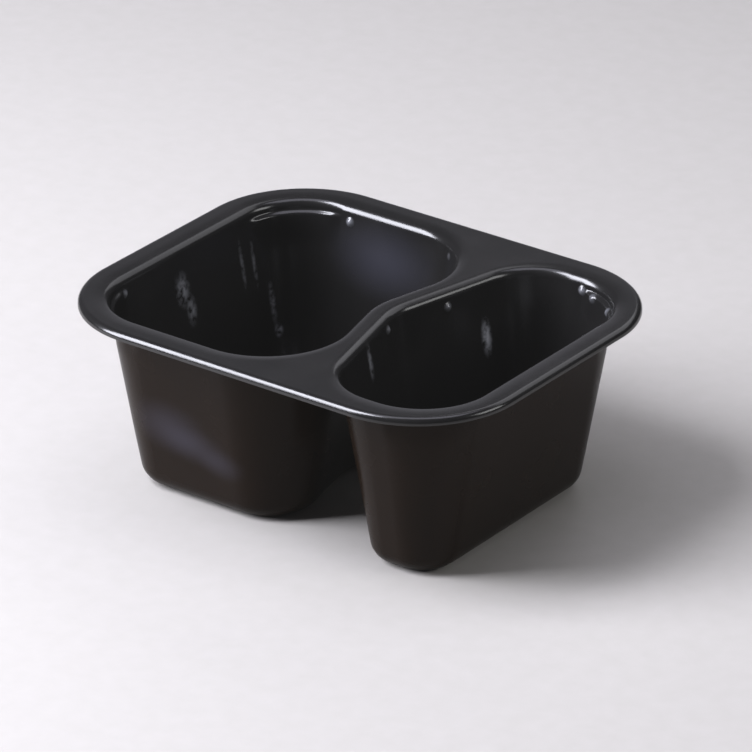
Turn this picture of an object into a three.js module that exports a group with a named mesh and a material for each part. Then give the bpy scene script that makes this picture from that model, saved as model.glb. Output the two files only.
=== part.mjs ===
import * as THREE from 'three';

// Two-compartment food tray, drawn as one thin sheet pressed into shape.
// Millimetres, +Z up, the tray stands on z = 0 and its long side runs along X.

// Overall size.
const trayLength = 165;
const trayWidth = 134.4;
const trayHeight = 65.9;
const sheetThickness = 0.6;

// Flange: its outer corners, and the small bend that turns its edge down.
const flangeCornerRadius = 36.9;
const edgeBendRadius = 2;
const edgeDrop = 2.5;

// Pocket mouths, where the flat land starts to round over into the walls.
const mouthLeftX = -74.1;
const mouthRightX = 75.1;
const mouthHalfWidth = 58.4;
const outerCornerRadius = 26;

// Divider between the pockets: a narrow ridge, a V in plan with its point toward the left pocket.
const dividerLeftX = 8.3;
const dividerRightX = 12;
const dividerSlope = 0.24;
const dividerPointRadius = 25;
const leftInnerCornerRadius = 30;
const rightInnerCornerRadius = 23;

// Wall section: the land dips a little toward the mouth, over less width on the divider,
// then come the shoulder, the sloping wall and the fillet into the floor.
const wideDip = 4;
const narrowDip = 1.4;
const dipAngle = THREE.MathUtils.degToRad(8);
const shoulderRadius = 2.8;
const draftAngle = THREE.MathUtils.degToRad(9.7);
const floorFilletRadius = 6.6;

// Nesting ledges pressed into the four outer corners, measured down from the land.
const ledgeStartDepth = 3.4;
const ledgeTopDepth = 4.7;
const ledgeEndDepth = 16;
const ledgeReach = 1.1;
const ledgeFadeAngle = THREE.MathUtils.degToRad(14);

// Fineness of the curved parts.
const planArcStep = THREE.MathUtils.degToRad(7.5);
const dipSteps = 2;
const shoulderSteps = 5;
const filletSteps = 6;
const outerEdgeSteps = 5;
const innerEdgeSteps = 3;

const quarterTurn = Math.PI / 2;

// Shared list of corner positions and of the triangles that join them.
const positions = [];
const triangles = [];

function addPoint(x, y, depth) {
  positions.push(x, y, trayHeight - depth);
  return positions.length / 3 - 1;
}

function addTriangle(a, b, c, flipped) {
  if (flipped) {
    triangles.push(a, c, b);
  } else {
    triangles.push(a, b, c);
  }
}

// Outline with rounded corners, run anticlockwise seen from above. Each point
// keeps its normal toward the inside, its width of dip, and its share of the
// nesting ledge. A corner's dip runs from its first width to its second.
function roundedOutline(corners) {
  const outline = [];
  corners.forEach((corner, index) => {
    const before = corners[(index + corners.length - 1) % corners.length];
    const after = corners[(index + 1) % corners.length];
    const arriving = new THREE.Vector2(corner.x - before.x, corner.y - before.y).normalize();
    const leaving = new THREE.Vector2(after.x - corner.x, after.y - corner.y).normalize();
    const turn = Math.atan2(arriving.cross(leaving), arriving.dot(leaving));
    const bend = Math.sign(turn);
    const reach = corner.radius * Math.tan(Math.abs(turn) / 2);
    const normal = new THREE.Vector2(-arriving.y, arriving.x);
    const start = new THREE.Vector2(corner.x, corner.y).addScaledVector(arriving, -reach);
    const centre = start.clone().addScaledVector(normal, corner.radius * bend);
    const steps = Math.max(2, Math.ceil(Math.abs(turn) / planArcStep));
    for (let step = 0; step <= steps; step += 1) {
      const swing = (turn * step) / steps;
      const facing = normal.clone().rotateAround(new THREE.Vector2(), swing);
      const fromEnd = Math.min(Math.abs(swing), Math.abs(turn - swing));
      outline.push({
        x: centre.x - facing.x * corner.radius * bend,
        y: centre.y - facing.y * corner.radius * bend,
        facing,
        dip: THREE.MathUtils.lerp(...(corner.dip ?? [wideDip, wideDip]), step / steps),
        ledge: corner.ledge ? THREE.MathUtils.smoothstep(fromEnd, 0, ledgeFadeAngle) : 0,
        onLedgeCorner: Boolean(corner.ledge),
      });
    }
  });
  return outline;
}

// Points of one outline moved inward and down.
function ringAt(outline, inset, depth) {
  return outline.map((point) => (
    addPoint(point.x + point.facing.x * inset, point.y + point.facing.y * inset, depth)
  ));
}

// Strip of triangles between two closed rings that have as many points each.
function joinRings(upper, lower, flipped) {
  upper.forEach((corner, index) => {
    const next = (index + 1) % upper.length;
    addTriangle(corner, upper[next], lower[next], flipped);
    addTriangle(corner, lower[next], lower[index], flipped);
  });
}

// Flat face between an outer ring and the rings of its openings.
function fillFlat(outerRing, holeRings, facesUp) {
  const asVector = (index) => new THREE.Vector2(positions[index * 3], positions[index * 3 + 1]);
  const contour = outerRing.map(asVector);
  const holes = holeRings.map((ring) => ring.map(asVector));
  const order = outerRing.concat(...holeRings);
  const faces = THREE.ShapeUtils.triangulateShape(contour, holes);
  faces.forEach(([first, second, third]) => {
    const a = asVector(order[first]);
    const b = asVector(order[second]);
    const c = asVector(order[third]);
    const anticlockwise = b.sub(a).cross(c.sub(a)) > 0;
    addTriangle(order[first], order[second], order[third], anticlockwise !== facesUp);
  });
}

// Section of one skin of a wall, from the land to the floor. offset is 0 for
// the upper skin and the sheet thickness for the lower one. Each row's key is its
// place in the order, so that columns with and without a ledge can be joined.
function wallSection(offset, dipWidth) {
  const wallSlope = Math.tan(draftAngle);
  const wallAngle = quarterTurn - draftAngle;
  const dipDepth = (dipWidth * Math.tan(dipAngle)) / 2;
  const arcDepth = dipDepth - shoulderRadius * (1 - Math.cos(dipAngle));
  const arcInset = arcDepth * wallSlope;
  const dipEnd = arcInset + shoulderRadius * Math.sin(dipAngle);
  const wallInset = arcInset + shoulderRadius * Math.sin(wallAngle);
  const wallDepth = arcDepth + shoulderRadius * (1 - Math.cos(wallAngle));
  const filletDepth = trayHeight - sheetThickness - floorFilletRadius;
  const filletInset = wallInset
    + (filletDepth - wallDepth) * wallSlope
    + floorFilletRadius / Math.cos(draftAngle);
  const rows = [];
  const addRow = (inset, depth, share, ledgeOnly) => {
    rows.push({ key: rows.length, inset, depth, share, ledgeOnly });
  };
  for (let step = 0; step < dipSteps; step += 1) {
    const along = step / dipSteps;
    const tilt = Math.atan(along * Math.tan(dipAngle));
    const inset = dipEnd - dipWidth * (1 - along) - offset * Math.sin(tilt);
    addRow(inset, dipDepth * along * along + offset * Math.cos(tilt), 0, false);
  }
  for (let step = 0; step <= shoulderSteps; step += 1) {
    const angle = dipAngle + ((wallAngle - dipAngle) * step) / shoulderSteps;
    const radius = shoulderRadius - offset;
    const depth = arcDepth + shoulderRadius - radius * Math.cos(angle);
    addRow(arcInset + radius * Math.sin(angle), depth, 0, false);
  }
  [[ledgeStartDepth, 0], [ledgeTopDepth, 1], [ledgeEndDepth, 0]].forEach(([depth, share]) => {
    const lowered = depth + offset / 2;
    const inset = wallInset
      + (lowered - wallDepth) * wallSlope
      - offset / Math.cos(draftAngle);
    addRow(inset, lowered, share, true);
  });
  for (let step = 0; step <= filletSteps; step += 1) {
    const angle = draftAngle + (wallAngle * step) / filletSteps;
    const radius = floorFilletRadius + offset;
    const depth = filletDepth + radius * Math.sin(angle);
    addRow(filletInset - radius * Math.cos(angle), depth, 0, false);
  }
  return rows;
}

// Triangles between two neighbouring columns, taken row by row in key order.
function joinColumns(left, right, flipped) {
  let atLeft = 0;
  let atRight = 0;
  while (atLeft < left.length - 1 || atRight < right.length - 1) {
    const leftKey = atLeft < left.length - 1 ? left[atLeft + 1].key : Infinity;
    const rightKey = atRight < right.length - 1 ? right[atRight + 1].key : Infinity;
    if (rightKey <= leftKey) {
      addTriangle(left[atLeft].index, right[atRight].index, right[atRight + 1].index, flipped);
      atRight += 1;
    } else {
      addTriangle(left[atLeft].index, right[atRight].index, left[atLeft + 1].index, flipped);
      atLeft += 1;
    }
  }
}

// One skin of a pocket with its floor. Gives back the ring at its mouth.
function addPocketSkin(outline, offset, flipped) {
  const columns = outline.map((point) => {
    const section = wallSection(offset, point.dip);
    const rows = section.filter((row) => !row.ledgeOnly || point.onLedgeCorner);
    return rows.map((row) => {
      const inset = row.inset + ledgeReach * row.share * point.ledge;
      const x = point.x + point.facing.x * inset;
      const y = point.y + point.facing.y * inset;
      return { key: row.key, index: addPoint(x, y, row.depth) };
    });
  });
  columns.forEach((column, index) => {
    joinColumns(column, columns[(index + 1) % columns.length], flipped);
  });
  const floorRing = columns.map((column) => column[column.length - 1].index);
  fillFlat(floorRing, [], !flipped);
  return columns.map((column) => column[0].index);
}

const slopeReach = dividerSlope * mouthHalfWidth;

const towardDivider = [wideDip, narrowDip];
const alongDivider = [narrowDip, narrowDip];
const awayFromDivider = [narrowDip, wideDip];

const leftPocket = roundedOutline([
  { x: mouthLeftX, y: -mouthHalfWidth, radius: outerCornerRadius, ledge: true },
  {
    x: dividerLeftX + slopeReach,
    y: -mouthHalfWidth,
    radius: leftInnerCornerRadius,
    dip: towardDivider,
  },
  { x: dividerLeftX, y: 0, radius: dividerPointRadius, dip: alongDivider },
  {
    x: dividerLeftX + slopeReach,
    y: mouthHalfWidth,
    radius: leftInnerCornerRadius,
    dip: awayFromDivider,
  },
  { x: mouthLeftX, y: mouthHalfWidth, radius: outerCornerRadius, ledge: true },
]);

const rightPocket = roundedOutline([
  {
    x: dividerRightX + slopeReach,
    y: -mouthHalfWidth,
    radius: rightInnerCornerRadius,
    dip: awayFromDivider,
  },
  { x: mouthRightX, y: -mouthHalfWidth, radius: outerCornerRadius, ledge: true },
  { x: mouthRightX, y: mouthHalfWidth, radius: outerCornerRadius, ledge: true },
  {
    x: dividerRightX + slopeReach,
    y: mouthHalfWidth,
    radius: rightInnerCornerRadius,
    dip: towardDivider,
  },
  { x: dividerRightX, y: 0, radius: dividerPointRadius, dip: alongDivider },
]);

const flangeOutline = roundedOutline([
  { x: -trayLength / 2, y: -trayWidth / 2, radius: flangeCornerRadius },
  { x: trayLength / 2, y: -trayWidth / 2, radius: flangeCornerRadius },
  { x: trayLength / 2, y: trayWidth / 2, radius: flangeCornerRadius },
  { x: -trayLength / 2, y: trayWidth / 2, radius: flangeCornerRadius },
]);

// Rings over the turned-down edge: along its rounded top, across its cut end
// and back up inside the bend.
function edgeRings() {
  const rings = [];
  for (let step = 0; step <= outerEdgeSteps; step += 1) {
    const angle = (quarterTurn * step) / outerEdgeSteps;
    const inset = edgeBendRadius * (1 - Math.sin(angle));
    rings.push(ringAt(flangeOutline, inset, edgeBendRadius * (1 - Math.cos(angle))));
  }
  rings.push(ringAt(flangeOutline, 0, edgeDrop));
  rings.push(ringAt(flangeOutline, sheetThickness, edgeDrop));
  const innerRadius = edgeBendRadius - sheetThickness;
  for (let step = innerEdgeSteps; step >= 0; step -= 1) {
    const angle = (quarterTurn * step) / innerEdgeSteps;
    const inset = edgeBendRadius - innerRadius * Math.sin(angle);
    rings.push(ringAt(flangeOutline, inset, edgeBendRadius - innerRadius * Math.cos(angle)));
  }
  return rings;
}

const flangeRings = edgeRings();
flangeRings.slice(1).forEach((ring, index) => joinRings(flangeRings[index], ring, true));

const upperMouths = [leftPocket, rightPocket].map((outline) => addPocketSkin(outline, 0, false));
const lowerMouths = [leftPocket, rightPocket].map((outline) => (
  addPocketSkin(outline, sheetThickness, true)
));
fillFlat(flangeRings[0], upperMouths, true);
fillFlat(flangeRings[flangeRings.length - 1], lowerMouths, false);

const geometry = new THREE.BufferGeometry();
geometry.setAttribute('position', new THREE.Float32BufferAttribute(positions, 3));
geometry.setIndex(triangles);
geometry.computeVertexNormals();

const blackPlastic = new THREE.MeshStandardMaterial({
  color: '#161514',
  roughness: 0.28,
  metalness: 0,
});

const tray = new THREE.Mesh(geometry, blackPlastic);
tray.name = 'tray';

const whole = new THREE.Group();
whole.name = 'food_tray';
whole.add(tray);

export default whole;
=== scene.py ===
import math

import bpy
from mathutils import Matrix, Vector, noise
from mathutils.geometry import delaunay_2d_cdt


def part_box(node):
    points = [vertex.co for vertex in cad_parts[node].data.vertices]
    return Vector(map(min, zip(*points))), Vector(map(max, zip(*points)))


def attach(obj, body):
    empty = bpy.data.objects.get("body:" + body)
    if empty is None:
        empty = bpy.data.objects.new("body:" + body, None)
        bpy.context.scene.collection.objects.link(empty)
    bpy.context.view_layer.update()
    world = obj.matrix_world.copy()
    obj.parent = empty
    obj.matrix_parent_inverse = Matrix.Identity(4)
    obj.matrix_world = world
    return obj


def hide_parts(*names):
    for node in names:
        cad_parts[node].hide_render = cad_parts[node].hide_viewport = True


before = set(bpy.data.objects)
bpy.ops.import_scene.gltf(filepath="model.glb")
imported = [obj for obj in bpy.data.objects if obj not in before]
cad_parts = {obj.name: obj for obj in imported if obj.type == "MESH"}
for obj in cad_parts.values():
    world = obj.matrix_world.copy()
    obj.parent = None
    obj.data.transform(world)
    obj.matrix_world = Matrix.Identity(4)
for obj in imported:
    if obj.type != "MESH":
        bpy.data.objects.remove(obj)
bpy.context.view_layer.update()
print("frame loaded")

mm = 0.001

# The two skins of the sheet, which are also the tray's two material slots.
airSide = 0
mouldSide = 1

# The tray, in millimetres. Its length, width and height come from the frame.
trayShape = {
    "sheet": 0.6,  # thickness of the formed sheet
    "rimCornerRadius": 36.9,
    "edgeBendRadius": 2.0,  # the rim's edge turns down
    "edgeDrop": 2.5,
    "cutEdgeRound": 0.12,  # the knife leaves the cut edge a little rounded
    "mouthLeftX": -74.1,
    "mouthRightX": 75.1,
    "mouthHalfWidth": 58.4,
    "outerCornerRadius": 26.0,
    "dividerLeftX": 8.3,
    "dividerRightX": 12.0,
    "dividerSlope": 0.24,
    "dividerPointRadius": 25.0,
    "leftInnerCornerRadius": 30.0,
    "rightInnerCornerRadius": 23.0,
    "wideDip": 4.0,  # the land dips a little toward the mouths, over less width on the divider
    "narrowDip": 1.4,
    "dipAngle": math.radians(8),
    "shoulderRadius": 2.8,
    "draft": math.radians(9.7),
    "floorFilletRadius": 6.6,
    "ledgeStart": 3.4,  # nesting ledges in the four outer corners, as depths under the rim
    "ledgeTop": 4.7,
    "ledgeEnd": 16.0,
    "ledgeReach": 1.1,
    "ledgeFade": math.radians(14),
}

# De-nesting lugs: small domes in the walls under the rim that keep stacked trays apart. Their
# places are in millimetres in the tray's frame, where they glint in the photo.
lugs = {
    "radius": 2.0,
    "height": 0.8,
    "at": (
        (-45.1, 55.1, 60.5),
        (-0.6, 52.0, 61.2),
        (20.4, 20.7, 60.5),
        (16.9, -7.4, 62.1),
        (49.5, 55.2, 61.5),
        (54.9, 53.9, 60.6),
        (64.8, 47.9, 60.6),
        (-70.6, -33.5, 60.4),
    ),
}

# How finely the mesh follows those sizes.
meshDetail = {
    "arcStep": math.radians(3),
    "straightStep": 2.6,  # mm between columns on straight runs
    "wallStep": 2.2,  # mm between rows down a wall
    "closeStep": 0.25,  # mm, closer over the lugs and the tops of the ledges
    "closeEnd": 7.8,  # mm under the rim, where the close rows end
    "lugStep": 0.35,  # mm between columns beside a lug
    "lugMargin": 3.5,  # mm, how far past a lug's edge the columns stay close
    "dipSteps": 5,
    "shoulderSteps": 10,
    "filletSteps": 9,
    "bendSteps": 8,
    "cutSteps": 3,
    "flatStep": 4.0,  # mm between points inside flat areas
    "guard": 0.35,  # mm, a thin strip that keeps flat areas flat in the shading
    "samePlace": 1e-5,  # mm, points closer than this are one
}

# Formed sheet is never quite flat: long low waves in the walls and the rim. Lengths are in mm.
sheetWaves = {
    "wallHeight": 0.16,
    "wallLength": 26.0,
    "wallStretch": 2.4,  # the waves run down the wall, the way the sheet is drawn
    "wallTurn": 2.0,  # how far the pattern moves on as the wall turns
    "topClear": 3.0,  # no waves this close under the rim, and full ones topFade below that
    "topFade": 9.0,
    "footClear": 6.0,  # the same above the surface that the tray stands on
    "footFade": 12.0,
    "rimHeight": 0.05,
    "rimLength": 30.0,
    "rimSlice": 3.0,  # the height in the noise from which the rim's waves are read
}


def makeOutline(corners):
    # anticlockwise outline: place, normal toward the inside, share of nesting ledge and width of dip
    outline = []
    for index, corner in enumerate(corners):
        before, after = corners[index - 1], corners[(index + 1) % len(corners)]
        here = Vector(corner["at"])
        arriving = (here - Vector(before["at"])).normalized()
        leaving = (Vector(after["at"]) - here).normalized()
        turn = math.atan2(arriving.cross(leaving), arriving.dot(leaving))
        bend = math.copysign(1, turn)
        radius = corner["radius"]
        reach = radius * math.tan(abs(turn) / 2)
        normal = Vector((-arriving.y, arriving.x))
        centre = here - arriving * reach + normal * radius * bend
        steps = max(2, math.ceil(abs(turn) / meshDetail["arcStep"]))
        dips = corner.get("dips", (trayShape["wideDip"],) * 2)
        if outline:
            addStraight(outline, centre - normal * radius * bend, normal, dips[0])

        def facingAt(share):
            return Vector((
                normal.x * math.cos(turn * share) - normal.y * math.sin(turn * share),
                normal.x * math.sin(turn * share) + normal.y * math.cos(turn * share),
            ))

        for share in evenShares(steps, lambda share: centre - facingAt(share) * radius * bend) + [1]:
            fromEnd = abs(turn) * min(share, 1 - share)
            ledge = smooth(fromEnd / trayShape["ledgeFade"]) if corner.get("ledge") else 0
            dip = dips[0] + (dips[1] - dips[0]) * share
            facing = facingAt(share)
            outline.append((centre - facing * radius * bend, facing, ledge, dip))
    addStraight(outline, outline[0][0], outline[0][1], outline[0][3])
    return outline


def addStraight(outline, end, normal, dip):
    # points between the last one and end, without the two ends
    start = outline[-1][0].copy()
    steps = max(1, round((end - start).length / meshDetail["straightStep"]))
    for share in evenShares(steps, lambda share: start.lerp(end, share))[1:]:
        outline.append((start.lerp(end, share), normal.copy(), 0, dip))


def evenShares(steps, placeAt):
    # shares of a run from 0 up to the last step's start, closer together beside a lug
    reach = lugs["radius"] + meshDetail["lugMargin"]
    shares = []
    for step in range(steps):
        start, end = step / steps, (step + 1) / steps
        middle = placeAt((start + end) / 2)
        beside = any((middle - Vector(spot[:2])).length < reach for spot in lugs["at"])
        length = (placeAt(end) - placeAt(start)).length
        pieces = math.ceil(length / meshDetail["lugStep"]) if beside else 1
        shares += [start + (end - start) * piece / pieces for piece in range(pieces)]
    return shares


def smooth(share):
    share = min(1, max(0, share))
    return share * share * (3 - 2 * share)


def pocketOutlines():
    s = trayShape
    half = s["mouthHalfWidth"]
    splay = s["dividerSlope"] * half
    wide, narrow, point = s["wideDip"], s["narrowDip"], s["dividerPointRadius"]
    outer = {"radius": s["outerCornerRadius"], "ledge": True}
    innerLeft, innerRight = s["leftInnerCornerRadius"], s["rightInnerCornerRadius"]
    leftX, rightX = s["dividerLeftX"], s["dividerRightX"]
    left = makeOutline([
        {"at": (s["mouthLeftX"], -half), **outer},
        {"at": (leftX + splay, -half), "radius": innerLeft, "dips": (wide, narrow)},
        {"at": (leftX, 0), "radius": point, "dips": (narrow, narrow)},
        {"at": (leftX + splay, half), "radius": innerLeft, "dips": (narrow, wide)},
        {"at": (s["mouthLeftX"], half), **outer},
    ])
    right = makeOutline([
        {"at": (rightX + splay, -half), "radius": innerRight, "dips": (narrow, wide)},
        {"at": (s["mouthRightX"], -half), **outer},
        {"at": (s["mouthRightX"], half), **outer},
        {"at": (rightX + splay, half), "radius": innerRight, "dips": (wide, narrow)},
        {"at": (rightX, 0), "radius": point, "dips": (narrow, narrow)},
    ])
    return left, right


def rimOutline(length, width):
    radius = trayShape["rimCornerRadius"]
    signs = ((-1, -1), (1, -1), (1, 1), (-1, 1))
    return makeOutline([
        {"at": (x * length / 2, y * width / 2), "radius": radius} for x, y in signs
    ])


def wallColumn(offset, height, dipWidth):
    # points down one skin, from the rim to the floor: inset, depth and share of the ledge's reach
    s = trayShape
    slope = math.tan(s["draft"])
    wallAngle = math.pi / 2 - s["draft"]
    dipDepth = dipWidth * math.tan(s["dipAngle"]) / 2
    arcDepth = dipDepth - s["shoulderRadius"] * (1 - math.cos(s["dipAngle"]))
    arcInset = arcDepth * slope
    dipEnd = arcInset + s["shoulderRadius"] * math.sin(s["dipAngle"])
    wallInset = arcInset + s["shoulderRadius"] * math.sin(wallAngle)
    wallDepth = arcDepth + s["shoulderRadius"] * (1 - math.cos(wallAngle))
    filletDepth = height - s["sheet"] - s["floorFilletRadius"]
    filletInset = (wallInset + (filletDepth - wallDepth) * slope
                   + s["floorFilletRadius"] / math.cos(s["draft"]))
    column = [(dipEnd - dipWidth - meshDetail["guard"], offset, 0)]
    for step in range(meshDetail["dipSteps"]):
        along = step / meshDetail["dipSteps"]
        tilt = math.atan(along * math.tan(s["dipAngle"]))
        inset = dipEnd - dipWidth * (1 - along) - offset * math.sin(tilt)
        column.append((inset, dipDepth * along ** 2 + offset * math.cos(tilt), 0))
    for step in range(meshDetail["shoulderSteps"] + 1):
        angle = s["dipAngle"] + (wallAngle - s["dipAngle"]) * step / meshDetail["shoulderSteps"]
        radius = s["shoulderRadius"] - offset
        depth = arcDepth + s["shoulderRadius"] - radius * math.cos(angle)
        column.append((arcInset + radius * math.sin(angle), depth, 0))
    wallEnd = filletDepth + (s["floorFilletRadius"] + offset) * math.sin(s["draft"])
    for depth in wallDepths(wallEnd):
        inset = wallInset + (depth - wallDepth) * slope - offset / math.cos(s["draft"])
        share = ledgeShare(depth - offset / 2)
        column.append((inset, depth, share))
    for step in range(meshDetail["filletSteps"] + 1):
        angle = s["draft"] + wallAngle * step / meshDetail["filletSteps"]
        radius = s["floorFilletRadius"] + offset
        column.append((filletInset - radius * math.cos(angle), filletDepth + radius * math.sin(angle), 0))
    column.append((filletInset + meshDetail["guard"], height - s["sheet"] + offset, 0))
    return column


def wallDepths(end):
    # close rows over the lugs and the tops of the ledges, then even ones down to the fillet
    depths = [trayShape["shoulderRadius"] + meshDetail["closeStep"]]
    while depths[-1] < meshDetail["closeEnd"]:
        depths.append(depths[-1] + meshDetail["closeStep"])
    count = round((end - depths[-1]) / meshDetail["wallStep"])
    first = depths[-1]
    depths += [first + (end - first) * step / count for step in range(1, count)]
    return depths


def ledgeShare(depth):
    s = trayShape
    rise = smooth((depth - s["ledgeStart"]) / (s["ledgeTop"] - s["ledgeStart"]))
    fall = smooth((depth - s["ledgeTop"]) / (s["ledgeEnd"] - s["ledgeTop"]))
    return rise * (1 - fall)


def lugLift(spot, z):
    # how far the lugs push the wall into the pocket
    if z < min(at[2] for at in lugs["at"]) - lugs["radius"]:
        return 0
    gap = min((Vector((spot.x, spot.y, z)) - Vector(at)).length for at in lugs["at"])
    return lugs["height"] * (1 - smooth(gap / lugs["radius"]))


def wallWave(place, facing, depth, height):
    # zero at the shoulder and at the floor, so neither the rim nor the base moves
    w = sheetWaves
    along = place.x * facing.y - place.y * facing.x
    spot = Vector((along / w["wallLength"], depth / (w["wallLength"] * w["wallStretch"]),
                   facing.x * w["wallTurn"] + place.x / w["wallLength"]))
    belowTop = smooth((depth - w["topClear"]) / w["topFade"])
    aboveFoot = smooth((height - w["footClear"] - depth) / w["footFade"])
    return w["wallHeight"] * noise.noise(spot) * (belowTop * aboveFoot)


def rimWave(x, y):
    # only ever downward, so the rim stays inside the CAD box
    w = sheetWaves
    return w["rimHeight"] * (noise.noise(Vector((x, y, w["rimSlice"])) / w["rimLength"]) - 1) / 2


class SheetMesh:
    # vertices in metres, and faces with the skin that each is on: 0 air side, 1 mould side
    def __init__(self, height):
        self.height = height
        self.places = []
        self.faces = []
        self.skins = []

    def addPoint(self, x, y, depth):
        self.places.append((x * mm, y * mm, (self.height - depth) * mm))
        return len(self.places) - 1

    def addFace(self, corners, skin):
        self.faces.append(corners if skin == airSide else corners[::-1])
        self.skins.append(skin)

    def addRing(self, outline, sections):
        # sections has the inset and depth for each point of the outline
        ring = []
        for (place, facing, _, _), (inset, depth) in zip(outline, sections):
            spot = place + facing * inset
            ring.append(self.addPoint(spot.x, spot.y, depth))
        return ring

    def joinRings(self, rings, skin):
        for upper, lower in zip(rings, rings[1:]):
            for index in range(len(upper)):
                after = (index + 1) % len(upper)
                self.addFace((upper[index], upper[after], lower[after], lower[index]), skin)

    def fillFlat(self, outer, holes, skin, wave=None):
        # triangles between an outer ring and its holes, with points inside that may wave
        rings = [outer] + holes
        corners = [index for ring in rings for index in ring]
        flat = [Vector(self.places[index][:2]) / mm for index in corners]
        depth = self.height - self.places[outer[0]][2] / mm
        edges, shapes = [], []
        start = 0
        for ring in rings:
            edges += [(start + step, start + (step + 1) % len(ring)) for step in range(len(ring))]
            shapes.append(flat[start:start + len(ring)])
            start += len(ring)
        extra = self.innerPoints(shapes)
        places, lines, triangles, origins, lineOrigins, _ = delaunay_2d_cdt(
            flat + extra, edges, [], 0, meshDetail["samePlace"])
        known = []
        for place, origin in zip(places, origins):
            if origin and origin[0] < len(corners):
                known.append(corners[origin[0]])
            else:
                lift = wave(place.x, place.y) if wave else 0
                known.append(self.addPoint(place.x, place.y, depth - lift))
        walls = {frozenset(line) for line, origin in zip(lines, lineOrigins) if origin}
        for triangle in reachable(places, triangles, walls, shapes):
            self.addFace(tuple(known[index] for index in triangle), skin)

    def innerPoints(self, shapes):
        # rows of points clear of the rings, every other row moved on by half a step
        step = meshDetail["flatStep"]
        xs = [point.x for point in shapes[0]]
        ys = [point.y for point in shapes[0]]
        points = []
        for row in range(math.ceil((max(ys) - min(ys)) / step)):
            shift = step / 2 * (row % 2)
            for column in range(math.ceil((max(xs) - min(xs)) / step)):
                spot = Vector((min(xs) + (column * step + shift), min(ys) + row * step))
                if not isInside(spot, shapes[0]) or any(isInside(spot, hole) for hole in shapes[1:]):
                    continue
                if min((spot - point).length for shape in shapes for point in shape) > step / 2:
                    points.append(spot)
        return points


def reachable(places, triangles, walls, shapes):
    # the triangles that join up without crossing a ring, from the largest one that is surely inside
    def twiceArea(triangle):
        a, b, c = (places[index] for index in triangle)
        return (b - a).cross(c - a)

    def isFilled(triangle):
        middle = sum((places[index] for index in triangle), Vector((0, 0))) / 3
        return isInside(middle, shapes[0]) and not any(isInside(middle, hole) for hole in shapes[1:])

    beside = {}
    for triangle in triangles:
        for index, corner in enumerate(triangle):
            beside.setdefault(frozenset((triangle[index - 1], corner)), []).append(triangle)
    first = max(filter(isFilled, triangles), key=twiceArea)
    kept, ahead = {tuple(first)}, [first]
    while ahead:
        triangle = ahead.pop()
        for index, corner in enumerate(triangle):
            line = frozenset((triangle[index - 1], corner))
            for neighbour in beside[line] if line not in walls else ():
                if tuple(neighbour) not in kept:
                    kept.add(tuple(neighbour))
                    ahead.append(neighbour)
    return sorted(kept)


def isInside(spot, shape):
    inside = False
    for index, point in enumerate(shape):
        before = shape[index - 1]
        if (point.y > spot.y) != (before.y > spot.y):
            crossing = (before.x - point.x) * (spot.y - point.y) / (before.y - point.y) + point.x
            if spot.x < crossing:
                inside = not inside
    return inside


def addPocket(sheet, outline, skin):
    # one skin of one pocket: dip, shoulder, wall, fillet and floor
    offset = trayShape["sheet"] * skin
    columns = []
    for place, facing, ledge, dip in outline:
        column = []
        for inset, depth, share in wallColumn(offset, sheet.height, dip):
            inset += trayShape["ledgeReach"] * share * ledge
            inset += wallWave(place, facing, depth, sheet.height)
            inset += lugLift(place + facing * inset, sheet.height - depth)
            column.append((inset, depth))
        columns.append(column)
    rings = [sheet.addRing(outline, sections) for sections in zip(*columns)]
    sheet.joinRings(rings, skin)
    sheet.fillFlat(rings[-1], [], skin)
    return rings[0]


def addRimEdge(sheet, outline):
    # over the rounded top, across the cut end, and back up inside the bend
    s = trayShape
    bend, thin, drop, cut = s["edgeBendRadius"], s["sheet"], s["edgeDrop"], s["cutEdgeRound"]
    steps, cutSteps = meshDetail["bendSteps"], meshDetail["cutSteps"]
    path = [(bend + meshDetail["guard"], 0)]
    for step in range(steps + 1):
        angle = math.pi / 2 * step / steps
        path.append((bend - bend * math.sin(angle), bend - bend * math.cos(angle)))
    for centre, start in ((cut, 0), (thin - cut, math.pi / 2)):
        for step in range(cutSteps + 1):
            angle = start + math.pi / 2 * step / cutSteps
            path.append((centre - cut * math.cos(angle), drop - cut + cut * math.sin(angle)))
    inner = bend - thin
    for step in range(steps, -1, -1):
        angle = math.pi / 2 * step / steps
        path.append((bend - inner * math.sin(angle), bend - inner * math.cos(angle)))
    path.append((bend + meshDetail["guard"], thin))
    rings = [sheet.addRing(outline, [section] * len(outline)) for section in path]
    rings.reverse()
    sheet.joinRings(rings, airSide)
    return rings[-1], rings[0]


def makeTray():
    low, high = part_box("tray")
    size = [(top - bottom) / mm for bottom, top in zip(low, high)]
    sheet = SheetMesh(size[2])
    upperRim, lowerRim = addRimEdge(sheet, rimOutline(size[0], size[1]))
    for skin, rim in ((airSide, upperRim), (mouldSide, lowerRim)):
        mouths = [addPocket(sheet, outline, skin) for outline in pocketOutlines()]
        sheet.fillFlat(rim, mouths, skin, rimWave)

    mesh = bpy.data.meshes.new("formedTray")
    mesh.from_pydata(sheet.places, [], sheet.faces)
    mesh.polygons.foreach_set("material_index", sheet.skins)
    mesh.shade_smooth()
    tray = bpy.data.objects.new("formedTray", mesh)
    bpy.context.collection.objects.link(tray)
    print("tray mesh:", len(mesh.vertices), "vertices,", len(mesh.polygons), "faces")
    return tray


def linearColour(hexText):
    # sRGB hex to linear, with alpha
    values = [int(hexText[start:start + 2], 16) / 255 for start in (1, 3, 5)]
    return [v / 12.92 if v <= 0.04045 else ((v + 0.055) / 1.055) ** 2.4 for v in values] + [1.0]


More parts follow.
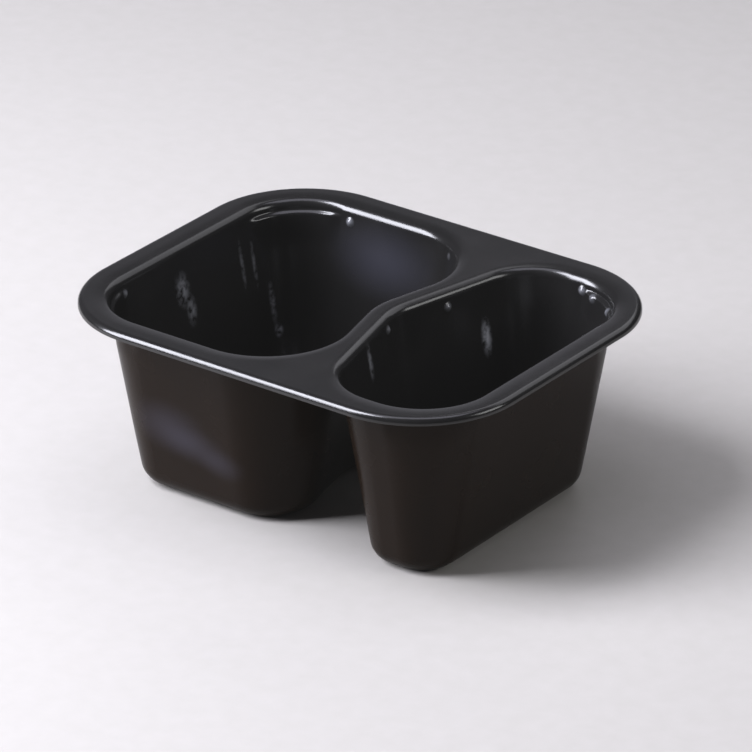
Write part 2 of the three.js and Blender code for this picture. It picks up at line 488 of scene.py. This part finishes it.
def addNode(tree, kind, settings=None, links=None):
    # settings name the node's own properties or its sockets, links name sockets and their source
    node = tree.nodes.new(kind)
    for name, value in (settings or {}).items():
        if isinstance(name, str) and hasattr(node, name):
            setattr(node, name, value)
        else:
            node.inputs[name].default_value = value
    for name, source in (links or {}).items():
        tree.links.new(source, node.inputs[name])
    return node


def newMaterial(name):
    material = bpy.data.materials.new(name)
    material.use_nodes = True
    material.node_tree.nodes.clear()
    return material, material.node_tree


# Sockets of the mix node for colours, by number because their names repeat.
mixShare, mixFirst, mixSecond, mixResult = 0, 6, 7, 2


# Both skins of the black sheet, matched to the photo. Lengths are in millimetres.
skinFinish = {
    "airSide": {
        "colour": "#151515",
        "cloudColour": "#1a1919",
        "ior": 1.5,
        "roughness": 0.2,
        "roughnessSpread": 0.08,
        "grainDepth": 0.0015,
        "peelDepth": 0.010,
        "lineDepth": 0.016,
        "lugPaintedGlint": 0.38,  # painted glint: a pale tint on each lug, brightening its glint beyond what its gloss gives
    },
    "mouldSide": {
        "colour": "#150d07",
        "cloudColour": "#1b1109",
        "ior": 1.155,  # under real polyester's, for the weak reflections that the photo shows
        "roughness": 0.26,
        "roughnessSpread": 0.06,
        "grainDepth": 0.004,
        "peelDepth": 0.012,
        "lineDepth": 0.020,
        "lugPaintedGlint": 0.0,
    },
}

# The noises in both skins: millimetres from one change to the next, and layers of finer detail.
skinPattern = {
    "clouds": (18.0, 3.0),  # slow change of colour and gloss
    "cloudLow": 0.3,  # the noise at which the gloss is highest, and the one at which it is lowest
    "cloudHigh": 0.7,
    "grain": (0.35, 2.0),  # fine orange peel of the crystallised skin
    "peel": (2.2, 1.0),  # slower ripple that bends highlights
    "lines": (3.5, 2.0),  # between the faint draw lines that run down the walls
    "lineStretch": 0.08,  # how fast the lines change down the wall, beside 1 across it
}


# Painted highlights and scuffs as soft ellipsoids: centre, half sizes and strength. Those of the air side
# are painted highlights, streaks and spots of reflected light placed where pale marks were seen. The
# three faint ones of the mould side are made up, like wear from stacking.
paintedHighlightsAndScuffs = {
    "colour": "#b9bbc2",
    "grain": (2.4, 3.0),  # the noise that breaks them up
    "breakFrom": 0.35,  # they are gone where it is under this, and full where it is over breakTo
    "breakTo": 0.6,
    # painted highlights: streaks and spots of reflected light on the inner walls
    "airSide": (
        ((-69.2, -5.0, 51.5), (3.0, 4.8, 8.5), 0.50),
        ((-68.2, -2.0, 43.0), (3.0, 3.4, 7.5), 0.42),
        ((-68.8, 26.6, 48.0), (3.0, 1.4, 15.0), 0.26),
        ((-68.6, 32.6, 46.0), (3.0, 1.4, 16.0), 0.24),
        ((-65.0, 38.1, 31.0), (3.0, 1.7, 13.0), 0.38),
        ((-62.9, 38.7, 21.7), (3.0, 2.0, 3.2), 0.80),
        ((26.2, 34.4, 46.0), (3.0, 2.8, 9.0), 1.0),
        ((21.4, -22.8, 58.0), (3.0, 2.2, 9.0), 0.45),
    ),
    # made-up wear from stacking
    "mouldSide": (
        ((-66.0, -38.0, 45.0), (4.0, 1.6, 11.0), 0.05),
        ((66.5, 36.0, 42.0), (4.0, 1.6, 13.0), 0.06),
        ((-30.0, 51.0, 40.0), (1.6, 4.0, 14.0), 0.06),
    ),
}

# Painted reflections in the same form: faint even pale patches of reflected light on two walls, placed
# where soft pale patches were seen. They are painted, so they stay as they are in any light.
paintedReflections = {
    "colour": "#8a8ba2",
    "airSide": (
        ((-30.0, 53.5, 50.5), (27.0, 5.0, 20.0), 0.07),
    ),
    "mouldSide": (
        ((-40.0, -50.0, 27.5), (19.0, 6.0, 13.0), 0.07),
        ((-30.0, -50.0, 22.5), (17.0, 6.0, 9.0), 0.06),
        ((-20.0, -50.0, 18.5), (12.0, 6.0, 7.5), 0.06),
    ),
}


def noiseField(tree, place, pattern):
    # values about 0.5, from a pattern's size in millimetres and its layers of detail
    size, detail = pattern
    return addNode(tree, "ShaderNodeTexNoise", {"Scale": 1 / (size * mm), "Detail": detail},
                   {"Vector": place}).outputs["Fac"]


def lugShare(tree, place):
    # 1 at the middle of each lug and 0 between them, the mask of the lugs' painted glint
    total = None
    for spot in lugs["at"]:
        away = addNode(tree, "ShaderNodeVectorMath", {
            "operation": "DISTANCE",
            1: Vector(spot) * mm,
        }, {0: place}).outputs["Value"]
        dome = addNode(tree, "ShaderNodeMapRange", {
            "interpolation_type": "SMOOTHSTEP",
            "From Min": 0,
            "From Max": lugs["radius"] * mm,
            "To Min": 1,
            "To Max": 0,
        }, {"Value": away}).outputs["Result"]
        total = addUp(tree, total, dome)
    return total


def softSpots(tree, place, spots):
    # the share of the spots at each place: the strength in the middle, falling softly to 0
    total = None
    for centre, sizes, strength in spots:
        scale = [1 / (size * mm) for size in sizes]
        local = addNode(tree, "ShaderNodeMapping", {
            "Location": [-middle * mm * factor for middle, factor in zip(centre, scale)],
            "Scale": scale,
        }, {"Vector": place}).outputs["Vector"]
        away = addNode(tree, "ShaderNodeVectorMath", {"operation": "LENGTH"}, {0: local})
        share = addNode(tree, "ShaderNodeMapRange", {
            "interpolation_type": "SMOOTHSTEP",
            "From Min": 0,
            "From Max": 1,
            "To Min": strength,
            "To Max": 0,
        }, {"Value": away.outputs["Value"]}).outputs["Result"]
        total = addUp(tree, total, share)
    return total


def highlightAndScuffShare(tree, place, spots):
    # the spots broken up by a fine noise
    patchy = addNode(tree, "ShaderNodeMapRange", {
        "From Min": paintedHighlightsAndScuffs["breakFrom"],
        "From Max": paintedHighlightsAndScuffs["breakTo"],
    }, {"Value": noiseField(tree, place, paintedHighlightsAndScuffs["grain"])}).outputs["Result"]
    return addNode(tree, "ShaderNodeMath", {"operation": "MULTIPLY"},
                   {0: softSpots(tree, place, spots), 1: patchy}).outputs["Value"]


def addUp(tree, total, share):
    if total is None:
        return share
    return addNode(tree, "ShaderNodeMath", {"operation": "ADD"}, {0: total, 1: share}).outputs["Value"]


def thermoformedBlackPolyester(name, finish):
    # Black crystallised polyester sheet, vacuum formed. The air side never touched the mould, so it
    # is deep black with a wet gloss; the mould side took the mould's fine blasting, so it is a
    # browner black with a satin sheen.
    material, tree = newMaterial("thermoformedBlackPolyester." + name)
    place = addNode(tree, "ShaderNodeTexCoord").outputs["Object"]
    clouds = noiseField(tree, place, skinPattern["clouds"])
    colour = addNode(tree, "ShaderNodeMix", {
        "data_type": "RGBA",
        mixFirst: linearColour(finish["colour"]),
        mixSecond: linearColour(finish["cloudColour"]),
    }, {mixShare: clouds}).outputs[mixResult]
    # pale share: the painted glint on each lug, the painted highlights of the air side and the made-up
    # scuffs of the mould side
    pale = addNode(tree, "ShaderNodeMath", {
        "operation": "MULTIPLY_ADD",
        "use_clamp": True,
        1: finish["lugPaintedGlint"],
    }, {0: lugShare(tree, place), 2: highlightAndScuffShare(tree, place, paintedHighlightsAndScuffs[name])}).outputs["Value"]
    # mix in the painted reflections, then the painted glints, highlights and scuffs
    for share, paleColour in (
        (softSpots(tree, place, paintedReflections[name]), paintedReflections["colour"]),
        (pale, paintedHighlightsAndScuffs["colour"]),
    ):
        colour = addNode(tree, "ShaderNodeMix", {
            "data_type": "RGBA",
            mixSecond: linearColour(paleColour),
        }, {mixShare: share, mixFirst: colour}).outputs[mixResult]
    roughness = addNode(tree, "ShaderNodeMapRange", {
        "From Min": skinPattern["cloudLow"],
        "From Max": skinPattern["cloudHigh"],
        "To Min": finish["roughness"] - finish["roughnessSpread"] / 2,
        "To Max": finish["roughness"] + finish["roughnessSpread"] / 2,
    }, {"Value": clouds}).outputs["Result"]

    stretched = addNode(tree, "ShaderNodeMapping", {"Scale": (1, 1, skinPattern["lineStretch"])},
                        {"Vector": place}).outputs["Vector"]
    normal = None
    for height, depth in (
        (noiseField(tree, place, skinPattern["grain"]), finish["grainDepth"]),
        (noiseField(tree, place, skinPattern["peel"]), finish["peelDepth"]),
        (noiseField(tree, stretched, skinPattern["lines"]), finish["lineDepth"]),
    ):
        links = {"Height": height, "Normal": normal} if normal else {"Height": height}
        normal = addNode(tree, "ShaderNodeBump", {"Distance": depth * mm}, links).outputs["Normal"]

    shader = addNode(tree, "ShaderNodeBsdfPrincipled", {"IOR": finish["ior"]}, {
        "Base Color": colour,
        "Roughness": roughness,
        "Normal": normal,
    })
    addNode(tree, "ShaderNodeOutputMaterial", None, {"Surface": shader.outputs["BSDF"]})
    return material


tray = makeTray()
for name, finish in skinFinish.items():
    tray.data.materials.append(thermoformedBlackPolyester(name, finish))
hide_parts("tray")
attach(tray, "root")
print("tray dressed")

studio = {
    "floorColour": "#b2afab",
    "floorCloudColour": "#aba8a3",
    "floorRoughness": 0.55,
    "floorClouds": (7.0, 2.0),  # mm and layers, the cloudy tone of the paint
    "floorPeel": (1.5, 1.0),  # its fine roller texture
    "floorPeelDepth": 0.01,  # mm
    "floorSize": 6.0,  # m
    "airColour": "#f4f3ff",
    "airStrength": 0.05,
    "glowFrom": (-0.60, 0.79, 0.10),  # a pale wall behind the tray, which the rim mirrors
    "glowSpread": 0.90,  # cosine of the glow's half angle
    "glowStrength": 0.40,
    "haze": 0.006,  # stray light in the lens, which lifts the blacks
}


def rolledWhitePaint():
    # Rolled eggshell paint on a flat board: pale and faintly cloudy, with a low sheen.
    material, tree = newMaterial("rolledWhitePaint")
    place = addNode(tree, "ShaderNodeTexCoord").outputs["Object"]
    clouds = noiseField(tree, place, studio["floorClouds"])
    colour = addNode(tree, "ShaderNodeMix", {
        "data_type": "RGBA",
        mixFirst: linearColour(studio["floorColour"]),
        mixSecond: linearColour(studio["floorCloudColour"]),
    }, {mixShare: clouds}).outputs[mixResult]
    peel = noiseField(tree, place, studio["floorPeel"])
    normal = addNode(tree, "ShaderNodeBump", {"Distance": studio["floorPeelDepth"] * mm},
                     {"Height": peel}).outputs["Normal"]
    shader = addNode(tree, "ShaderNodeBsdfPrincipled", {"Roughness": studio["floorRoughness"]}, {
        "Base Color": colour,
        "Normal": normal,
    })
    addNode(tree, "ShaderNodeOutputMaterial", None, {"Surface": shader.outputs["BSDF"]})
    return material


def makeFloor():
    half = studio["floorSize"] / 2
    corners = [(-half, -half, 0), (half, -half, 0), (half, half, 0), (-half, half, 0)]
    mesh = bpy.data.meshes.new("floor")
    mesh.from_pydata(corners, [], [(0, 1, 2, 3)])
    floor = bpy.data.objects.new("floor", mesh)
    bpy.context.collection.objects.link(floor)
    mesh.materials.append(rolledWhitePaint())


# Each lamp: direction from the tray as (x, y, z), distance, width and height in metres, and how
# bright its face looks, where 1 is the picture's white.
lamps = {
    "tallWindow": {
        "from": (-0.56, -0.52, 0.64),
        "away": 1.0,
        "size": (0.42, 1.05),
        "bright": 24.0,
        "colour": "#f3f4ff",
    },
    "rightBox": {
        "from": (0.84, 0.30, 0.46),
        "away": 1.1,
        "size": (0.5, 0.4),
        "bright": 4.5,
        "colour": "#ffffff",
    },
    "backBox": {
        "from": (0.04, 0.74, 0.64),
        "away": 1.2,
        "size": (1.15, 0.55),
        "bright": 1.3,
        "colour": "#f2f2f8",
    },
    "overheadPanel": {
        "from": (-0.04, 0.06, 1.0),
        "away": 1.0,
        "size": (0.85, 0.6),
        "bright": 2.3,
        "colour": "#f0efff",
    },
}


def addLamps():
    for name, lamp in lamps.items():
        light = bpy.data.lights.new(name, "AREA")
        light.shape = "RECTANGLE"
        light.size, light.size_y = lamp["size"]
        light.energy = lamp["bright"] * math.pi * light.size * light.size_y
        light.color = linearColour(lamp["colour"])[:3]
        holder = bpy.data.objects.new(name, light)
        direction = Vector(lamp["from"]).normalized()
        holder.location = direction * lamp["away"] + Vector((0, 0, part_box("tray")[1][2]))
        holder.rotation_euler = direction.to_track_quat("Z", "Y").to_euler()
        bpy.context.collection.objects.link(holder)


def setWorld():
    # even dim air with one soft glow behind the tray
    world = bpy.data.worlds.new("studioAir")
    world.use_nodes = True
    tree = world.node_tree
    tree.nodes.clear()
    ray = addNode(tree, "ShaderNodeTexCoord").outputs["Generated"]
    aim = addNode(tree, "ShaderNodeVectorMath", {"operation": "DOT_PRODUCT", 1: studio["glowFrom"]},
                  {0: ray}).outputs["Value"]
    strength = addNode(tree, "ShaderNodeMapRange", {
        "interpolation_type": "SMOOTHSTEP",
        "From Min": studio["glowSpread"],
        "From Max": 1.0,
        "To Min": studio["airStrength"],
        "To Max": studio["glowStrength"],
    }, {"Value": aim}).outputs["Result"]
    back = addNode(tree, "ShaderNodeBackground", {"Color": linearColour(studio["airColour"])},
                   {"Strength": strength})
    addNode(tree, "ShaderNodeOutputWorld", None, {"Surface": back.outputs["Background"]})
    bpy.context.scene.world = world
    view = bpy.context.scene.view_settings
    view.view_transform = "Standard"
    view.use_curve_mapping = True
    view.curve_mapping.black_level = [-studio["haze"]] * 3
    view.curve_mapping.update()


makeFloor()
addLamps()
setWorld()
print("studio lit")

# The photo's view: a long lens from the front right, looking down.
photoView = {
    "azimuth": math.radians(36.6),
    "elevation": math.radians(26.0),
    "roll": math.radians(-0.12),
    "away": 1.98,  # m from the middle of the rim
    "farthest": 20.0,  # m, the end of what the camera sees
    "sensor": 36.0,  # mm
    "focal": 292.4,  # mm
    "aimRight": 5.31,  # mm, where the middle of the picture falls from the middle of the rim
    "aimUp": -25.22,
}


def addCamera():
    v = photoView
    back = Vector((
        math.sin(v["azimuth"]) * math.cos(v["elevation"]),
        -math.cos(v["azimuth"]) * math.cos(v["elevation"]),
        math.sin(v["elevation"]),
    ))
    right = Vector((math.cos(v["azimuth"]), math.sin(v["azimuth"]), 0))
    up = back.cross(right)
    rolledRight = right * math.cos(v["roll"]) + up * math.sin(v["roll"])
    rolledUp = up * math.cos(v["roll"]) - right * math.sin(v["roll"])
    rimMiddle = Vector((0, 0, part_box("tray")[1][2]))
    lens = bpy.data.cameras.new("photoCamera")
    lens.sensor_width = v["sensor"]
    lens.lens = v["focal"]
    lens.clip_end = v["farthest"]
    camera = bpy.data.objects.new("photoCamera", lens)
    camera.rotation_euler = Matrix((rolledRight, rolledUp, back)).transposed().to_euler()
    aim = (rolledRight * v["aimRight"] + rolledUp * v["aimUp"]) * mm
    camera.location = rimMiddle + back * v["away"] + aim
    bpy.context.collection.objects.link(camera)
    bpy.context.scene.camera = camera


addCamera()

print("camera set")
